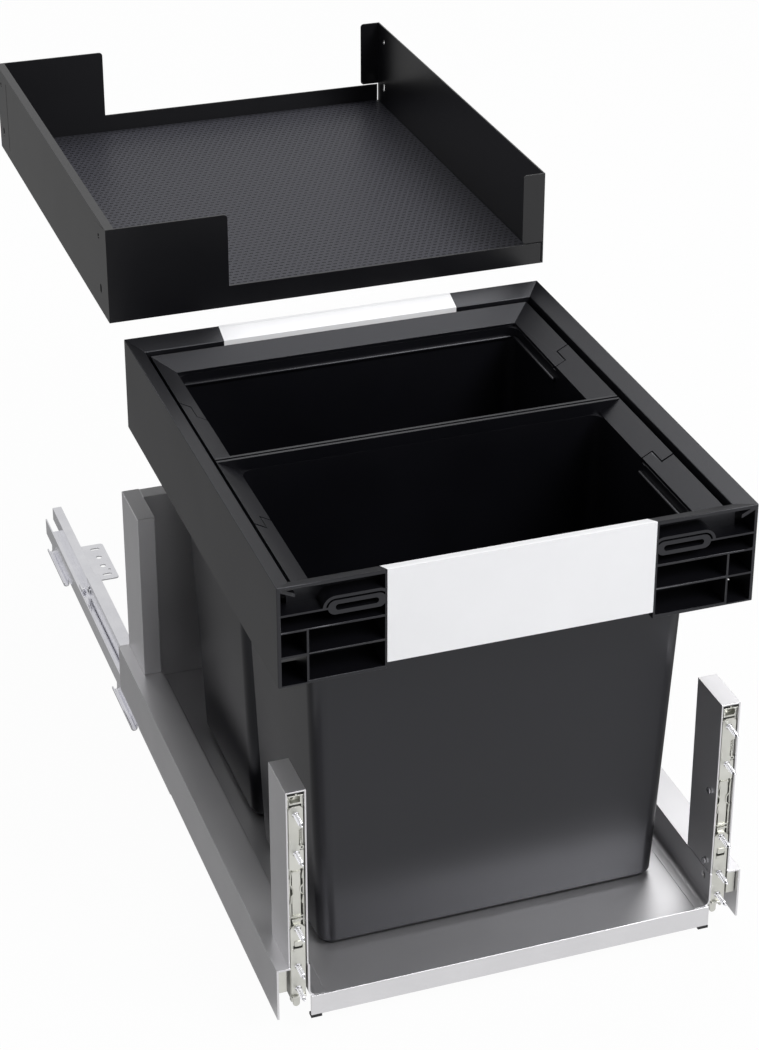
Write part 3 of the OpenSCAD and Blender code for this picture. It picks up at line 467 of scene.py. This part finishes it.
def screw_thread(x, z, radius, depth, pitch, start, turns, taper_from, steps=14):
    """A cut thread round a line along y that runs out towards the point."""
    mesh = bmesh.new()
    root = radius - depth - 0.1
    corners = [(root, pitch * 0.36), (radius, pitch * 0.06), (radius, -pitch * 0.06), (root, -pitch * 0.36)]
    tooth = [mesh.verts.new(at(x + r, start + y, z)) for r, y in corners]
    face = mesh.faces.new(tooth)
    bmesh.ops.spin(
        mesh, geom=tooth + face.edges[:] + [face], cent=at(x, 0, z), axis=(0, 1, 0), angle=math.tau * turns,
        dvec=(0, -pitch * MM / steps, 0), steps=int(steps * turns), use_duplicate=False,
    )
    end_y = at(0, start - pitch * turns, 0).y
    taper_y = at(0, taper_from, 0).y
    axis = at(x, 0, z)
    for vert in mesh.verts:
        share = min(1, max(0, (taper_y - vert.co.y) / (taper_y - end_y)))
        vert.co.x = axis.x + (vert.co.x - axis.x) * (1 - 0.7 * share)
        vert.co.z = axis.z + (vert.co.z - axis.z) * (1 - 0.7 * share)
    bmesh.ops.recalc_face_normals(mesh, faces=mesh.faces)
    return mesh


def ribbon(low, high, wave, t, rows=48):
    """A thin strip along z, waved in x, between two corners in y and z."""
    mesh = bmesh.new()
    bmesh.ops.create_grid(mesh, x_segments=2, y_segments=rows, size=0.5)
    for axis in ("X", "Z"):
        quarter = Matrix.Rotation(math.radians(90), 3, axis)
        bmesh.ops.rotate(mesh, verts=mesh.verts, cent=(0, 0, 0), matrix=quarter)
    (y0, z0), (y1, z1) = low, high
    for vert in mesh.verts:
        z = z0 + (vert.co.z + 0.5) * (z1 - z0)
        vert.co = at(wave(z), y0 + (vert.co.y + 0.5) * (y1 - y0), z)
    bmesh.ops.recalc_face_normals(mesh, faces=mesh.faces)
    bmesh.ops.solidify(mesh, geom=mesh.faces[:] + mesh.edges[:] + mesh.verts[:], thickness=t * MM)
    bmesh.ops.recalc_face_normals(mesh, faces=mesh.faces)
    return mesh


def turned_across(profile, x, y, z, s):
    """A turned shape about a line along x. Its profile's second value runs from x to the drawer's middle."""
    mesh = turned(profile, 0, 0, 32)
    quarter = Matrix.Rotation(math.radians(90 * s), 3, "Z")
    bmesh.ops.rotate(mesh, verts=mesh.verts, cent=at(0, 0, 0), matrix=quarter)
    bmesh.ops.translate(mesh, verts=mesh.verts, vec=at(x, y, z) - at(0, 0, 0))
    return mesh


# The edges of the sheets and mouldings, and the bins' small shapes
def span(y0, y1, mirrored):
    """Two places along y, mirrored about the frame's middle for the rear bin."""
    return (FRAME_LENGTH - y1, FRAME_LENGTH - y0) if mirrored else (y0, y1)


def lap_slots(mirrored):
    """Slots through the rim's seat where a handle's ends lap the rim, in plan as a stepped line."""
    slots = []
    for _, s in SIDES:
        for x0, x1, y0, y1, low in (
            (147.3, 156.4, 102.3, 103.7, 331),
            (147.3, 148.1, 102.3, 120.2, 329),
            (139.8, 148.1, 119.2, 120.2, 327.5),
        ):
            xs = sorted((s * x0, s * x1))
            ys = span(y0, y1, mirrored)
            slots.append(block((xs[0], ys[0], low), (xs[1], ys[1], 342)))
    return slots


def bag_beads(name, body, mirrored):
    """The rounded bead along the ledge that a bag is tucked over, inside a bin."""
    low, high = 319.4, 322.4
    side, end = span(34.2, 120.0, mirrored), span(33.6, 36.8, mirrored)
    bars = [
        block((x0, y0, low), (x1, y1, high), 1.3, 4)
        for x0, x1, (y0, y1) in ((-140, -136.9, side), (136.9, 140, side), (-139.5, 139.5, end))
    ]
    finish_piece(name, joined(bars), body, "bin_black")


# How far the edges of a part are rounded over, in mm
SINGLE_PARTS = {
    "frame_front_panel": 0.7, "frame_rear_panel": 0.7, "base_pan": 0.4, "back_wall": 0.9, "tray_shell": 0.35,
}
PAIRED_PARTS = {
    "front_bracket": 0.8, "rear_bracket": 1.2, "side_profile": 0.6,
    "runner_fixed": 0.3, "runner_middle": 0.3, "runner_drawer": 0.3, "runner_plate": 0.3,
    "runner_hooks": 0.25, "runner_cap": 0.6, "fixing_rail": 0.3, "release_lever": 0.3,
}
for part, radius in SINGLE_PARTS.items():
    eased(part, radius)
for part, radius in PAIRED_PARTS.items():
    for side_name, _ in SIDES:
        eased(part + "_" + side_name, radius)
for side_name, _ in SIDES:
    eased("frame_" + side_name, 0.8, 50)
for end_name in ENDS:
    eased("bin_" + end_name, 0.5, cuts=lap_slots(end_name == "rear"))
for end_name in ENDS:
    eased("handle_" + end_name, 0.6, 8)
for end_name in ENDS:
    bag_beads("bag_bead_" + end_name, end_name + "_bin", end_name == "rear")


# The door fixing, the runners and the tray
def strip_step(z):
    """How far a fixing's side strips stand from its middle. They step in near the link's middle."""
    return 4.7 + 1.1 * math.tanh((z - 111) * 0.9) - 1.1 * math.tanh((z - 104) * 0.9)


def door_fixing(side_name, s):
    """The screws, plates, side strips and latch that a door front is fixed to, in one bracket."""
    x = s * FIXING_X
    hw = FIXING_HALF

    screw = [
        (0, 3.2), (2.9, 3.2), (3.4, 2.8), (3.4, 2.02), (2.2, 2.0), (2.2, 1.3), (1.2, 1.1), (1.2, -11.8),
        (0.8, -13.6), (0, -14.6),
    ]
    shanks = []
    for z in SCREW_Z:
        shanks.append(turned(screw, x, z))
        shanks.append(screw_thread(x, z, 1.9, 0.7, 1.9, 0.1, 6.75, -10.6))
    piece = finish_piece("door_screws_" + side_name + "_cut", joined(shanks), "drawer", "zinc")
    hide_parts("door_screws_" + side_name)

    plate = carved(copied("fixing_plate_upper_" + side_name), [
        block((x + 1.9, -1, 145.5), (x + hw + 1, 3, 159.5)),
        block((x + 2.6, -1, 141.5), (x + hw + 1, 3, 146.5)),
    ])
    piece = round_over(finish_piece("upper_plate_" + side_name, plate, "drawer", "fixing_zinc"), 0.3)
    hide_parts("fixing_plate_upper_" + side_name)
    rack = [block((x + 1.6, 2.5, 145), (x + hw, 3.4, 160), 0.2)]
    for i in range(6):
        z = 147.3 + 2.1 * i
        tooth = block((x + 1.9, 1.5, z), (x + hw - 0.2, 2.8, z + 0.9), 0.2)
        lean = Matrix.Rotation(-0.5, 3, "Y")
        bmesh.ops.rotate(tooth, verts=tooth.verts, cent=at(x + 3.5, 2, z), matrix=lean)
        rack.append(tooth)
    rack.append(turned([(0.75, 0.5), (1.7, 0.5), (1.7, 2.4), (0.75, 2.4), (0.75, 0.5)], x + 4.0, 143.6))
    rack.append(block((x + 2.9, 0.7, 144.8), (x + 3.9, 2.3, 149.6), 0.25))
    finish_piece("plate_rack_" + side_name, joined(rack), "drawer", "fixing_zinc")

    plate = carved(copied("fixing_plate_lower_" + side_name), [block((x - 3.4, -1, 59), (x + 3.4, 3, 61.4))])
    piece = round_over(finish_piece("lower_plate_" + side_name, plate, "drawer", "fixing_zinc"), 0.3)
    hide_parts("fixing_plate_lower_" + side_name)
    tabs = [
        block((x - 2.7, -0.5, 60.8), (x + 2.7, 1.4, 65.2), 0.5),
        block((x - 3.2, -0.1, 55.9), (x + 3.2, 1.6, 58.8), 0.3),
        block((x - hw, -1.6, 16.4), (x + hw, 0.8, 18.4), 0.7, 3),
        block((x - 5.0, 2.6, 10.6), (x - 3.3, 6.6, 17.0), 0.7, 3),
        block((x + 3.3, 2.6, 10.6), (x + 5.0, 6.6, 17.0), 0.7, 3),
        block((x - 4.6, 0.9, 85.0), (x + 4.6, 2.6, 86.3), 0.4),
        block((x - 4.0, 0.5, 82.2), (x + 4.0, 2.4, 83.9), 0.4),
        block((x - 3.2, 1.2, 121.8), (x + 3.2, 2.4, 123.6), 0.35),
    ]
    finish_piece("plate_tabs_" + side_name, joined(tabs), "drawer", "fixing_zinc")

    strips = [
        ribbon((1.3, 84.5), (8.2, 125.5), lambda z, k=k: x + k * strip_step(z), 0.7) for k in (-1, 1)
    ]
    for k in (-1, 1):
        for z0, z1 in ((117.5, 124.6), (96.5, 103.6)):
            bit = block((x + k * 4.3 - 0.45, 0.4, z0), (x + k * 4.3 + 0.45, 2.2, z1), 0.35)
            lean = Matrix.Rotation(0.12, 3, "Y")
            bmesh.ops.rotate(bit, verts=bit.verts, cent=at(x + k * 4.3, 1.3, (z0 + z1) / 2), matrix=lean)
            strips.append(bit)
    finish_piece("fixing_strips_" + side_name, joined(strips), "drawer", "fixing_zinc")

    latch = carved(copied("fixing_latch_" + side_name), [block((x - 3.6, -1, 180.4), (x + 3.6, 5.4, 185.6))])
    piece = round_over(finish_piece("latch_" + side_name, latch, "drawer", "fixing_zinc"), 0.25)
    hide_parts("fixing_latch_" + side_name)
    lip = carved(block((x - hw - 0.2, -0.1, 186.3), (x + hw + 0.2, 3.4, 187.2)), [
        block((x + 0.2, -1, 185.8), (x + 1.6, 1.6, 187.6)),
    ])
    round_over(finish_piece("latch_lip_" + side_name, lip, "drawer", "fixing_zinc"), 0.2)


def adjusters(side_name, s):
    """Heads of adjusting screws at a bracket's inner wall, and a pressed collar at each hole.

    The domes with their crosses face the wall, so the heads show their flat backs. The collar at
    the low hole lies within the side profile's sheet.
    """
    x, y = s * BRACKET_X, ADJUSTER_Y
    head = [(0, 0.1), (1.2, 0.15), (2.2, 0.5), (2.55, 1.0), (2.55, 1.6), (0, 1.6)]
    collar = [(2.9, 0.15), (3.1, -0.2), (3.6, -0.35), (4.1, -0.2), (4.4, 0.1), (2.9, 0.15)]
    heads = []
    for z in ADJUSTER_Z:
        dome = turned_across(head, x, y, z, s)
        lie = [x - s * 0.6, x + s * 1.3]
        heads.append(carved(dome, [
            block((min(lie), y - 1.5, z - 0.3), (max(lie), y + 1.5, z + 0.3)),
            block((min(lie), y - 0.3, z - 1.5), (max(lie), y + 0.3, z + 1.5)),
        ]))
    collars = joined([turned_across(collar, x, y, z, s) for z in (*ADJUSTER_Z, LOW_HOLE_Z)])
    piece = finish_piece("adjust_screws_" + side_name + "_cut", joined(heads), "drawer", "zinc")
    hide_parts("adjust_screws_" + side_name)
    finish_piece("adjuster_collars_" + side_name, collars, "drawer", "steel_silver", math.radians(50))


def runner_clips(side_name, s):
    """A spring clip on the fixed member's web, and a stop pressed in the middle member.

    The stop sits behind the place that the drawer's member reaches when the drawer is closed.
    """
    lie = sorted((s * 175.8, s * 171.2))
    slot = sorted((s * 174.0, s * 173.0))
    clip = carved(block((lie[0], 602.5, 9.1), (lie[1], 613.0, 13.4), 0.8, 3), [
        block((slot[0], 604.5, 10.4), (slot[1], 616.0, 14.0)),
    ])
    finish_piece("runner_clip_" + side_name, clip, "cabinet_side", "zinc")
    lie = sorted((s * 172.1, s * 171.2))
    stop = joined([
        block((lie[0], 587.0, 15.0), (lie[1], 595.5, 20.5), 0.35),
        block((lie[0], 590.0, 14.1), (lie[1], 592.5, 22.5), 0.35),
    ])
    finish_piece("runner_stop_" + side_name, stop, "runner_middles", "zinc")


def tray_seams(side_name, s):
    """The pressed line and the folded corner seam in a tray's side wall."""
    lie = sorted((s * 181.15, s * 180.7))
    line = block((lie[0], 777.5, 369.7), (lie[1], 778.6, 432.3), 0.15)
    seam = block((lie[0], 415.4, 434.9), (lie[1], 445.0, 435.7), 0.15)
    turn = Matrix.Rotation(math.atan2(-5.6, 29.2), 3, "X")
    bmesh.ops.rotate(seam, verts=seam.verts, cent=at(0, 430.2, 435.3), matrix=turn)
    finish_piece("tray_seams_" + side_name, joined([line, seam]), "cabinet_side", "tray_black")


for side_name, s in SIDES:
    door_fixing(side_name, s)
    adjusters(side_name, s)
    runner_clips(side_name, s)
    tray_seams(side_name, s)


# Room, lights and camera
def plain_backdrop(name, strength, mirror):
    """Pale ground with a soft shadow. In reflections it is grey behind and white in front."""
    material = bpy.data.materials.new(name)
    material.use_nodes = True
    tree = material.node_tree
    tree.nodes.clear()
    out = tree.nodes.new("ShaderNodeOutputMaterial")
    paper = tree.nodes.new("ShaderNodeBsdfDiffuse")
    paper.inputs["Color"].default_value = (0.6, 0.6, 0.61, 1)
    glow = tree.nodes.new("ShaderNodeEmission")
    path = tree.nodes.new("ShaderNodeLightPath")
    seen = maths(tree, "ADD", path.outputs["Is Camera Ray"], path.outputs["Is Transmission Ray"])
    place = tree.nodes.new("ShaderNodeTexCoord")
    split = tree.nodes.new("ShaderNodeSeparateXYZ")
    tree.links.new(place.outputs["Object"], split.inputs[0])
    fade = tree.nodes.new("ShaderNodeMapRange")
    fade.interpolation_type = "SMOOTHSTEP"
    limits = (("From Min", -0.6), ("From Max", -0.66), ("To Min", mirror[0]), ("To Max", mirror[1]))
    for socket, value in limits:
        fade.inputs[socket].default_value = value
    tree.links.new(split.outputs[1], fade.inputs["Value"])
    glossy = path.outputs["Is Glossy Ray"]
    bright = maths(tree, "MULTIPLY_ADD", glossy, maths(tree, "SUBTRACT", fade.outputs[0], 1), 1)
    tree.links.new(bright, glow.inputs["Strength"])
    mask = maths(tree, "MINIMUM", maths(tree, "MULTIPLY_ADD", seen, strength, glossy), 1)
    mix = tree.nodes.new("ShaderNodeMixShader")
    tree.links.new(mask, mix.inputs[0])
    tree.links.new(paper.outputs[0], mix.inputs[1])
    tree.links.new(glow.outputs[0], mix.inputs[2])
    tree.links.new(mix.outputs[0], out.inputs[0])
    return material


def ground():
    """The floor, 0.2 mm below the lowest part."""
    low = cad_box[0].z - 0.0002
    mesh = bmesh.new()
    bmesh.ops.create_grid(mesh, x_segments=1, y_segments=1, size=30)
    bmesh.ops.translate(mesh, verts=mesh.verts, vec=(0, 0, low))
    data = bpy.data.meshes.new("ground")
    mesh.to_mesh(data)
    mesh.free()
    floor = bpy.data.objects.new("ground", data)
    scene.collection.objects.link(floor)
    data.materials.append(plain_backdrop("ground_paper", strength=0.97, mirror=(0.3, 1.0)))


def sky():
    """A plain sky: white to the camera, darker in reflections and dim as light."""
    mirrored = 0.656
    world = bpy.data.worlds.new("studio")
    scene.world = world
    world.use_nodes = True
    tree = world.node_tree
    tree.nodes.clear()
    out = tree.nodes.new("ShaderNodeOutputWorld")
    seen = tree.nodes.new("ShaderNodeBackground")
    seen.inputs["Color"].default_value = (1, 1, 1, 1)
    soft = tree.nodes.new("ShaderNodeBackground")
    soft.inputs["Color"].default_value = (0.97, 0.98, 1, 1)
    soft.inputs["Strength"].default_value = 0.3
    path = tree.nodes.new("ShaderNodeLightPath")
    mix = tree.nodes.new("ShaderNodeMixShader")
    rays = maths(tree, "ADD", path.outputs["Is Camera Ray"], path.outputs["Is Transmission Ray"])
    rays = maths(tree, "ADD", rays, path.outputs["Is Glossy Ray"])
    tree.links.new(maths(tree, "MINIMUM", rays, 1), mix.inputs[0])
    strength = maths(tree, "MULTIPLY_ADD", path.outputs["Is Glossy Ray"], mirrored - 1, 1)
    tree.links.new(strength, seen.inputs["Strength"])
    tree.links.new(soft.outputs[0], mix.inputs[1])
    tree.links.new(seen.outputs[0], mix.inputs[2])
    tree.links.new(mix.outputs[0], out.inputs[0])


def lamp(name, place, target, size, power):
    """A soft box in metres and watts, turned towards a target."""
    data = bpy.data.lights.new(name, "AREA")
    data.shape = "RECTANGLE"
    data.size, data.size_y = size
    data.energy = power
    light = bpy.data.objects.new(name, data)
    scene.collection.objects.link(light)
    light.location = place
    light.rotation_euler = (Vector(target) - Vector(place)).to_track_quat("-Z", "Y").to_euler()


def camera():
    """The photo's camera, as near as a small lens shift allows."""
    data = bpy.data.cameras.new("camera")
    data.sensor_width = 36
    data.lens = 88.8
    data.shift_x = -0.0167
    data.shift_y = -0.122
    data.clip_end = 100
    view = bpy.data.objects.new("camera", data)
    scene.collection.objects.link(view)
    view.location = (-0.58164, -2.02559, 1.18971)
    view.rotation_euler = (1.109997, -0.002907, -0.340494)
    scene.camera = view


scene.view_settings.view_transform = "Standard"
ground()
sky()
CENTRE = (0, -0.35, 0.15)
lamp("front_softbox", (1.6, -2.6, 2.7), CENTRE, (1.8, 1.4), 112)
lamp("left_softbox", (-2.6, -0.9, 1.2), CENTRE, (1.4, 1.4), 4.5)
lamp("top_softbox", (0.5, 0.9, 2.6), CENTRE, (2.2, 1.6), 42)
camera()
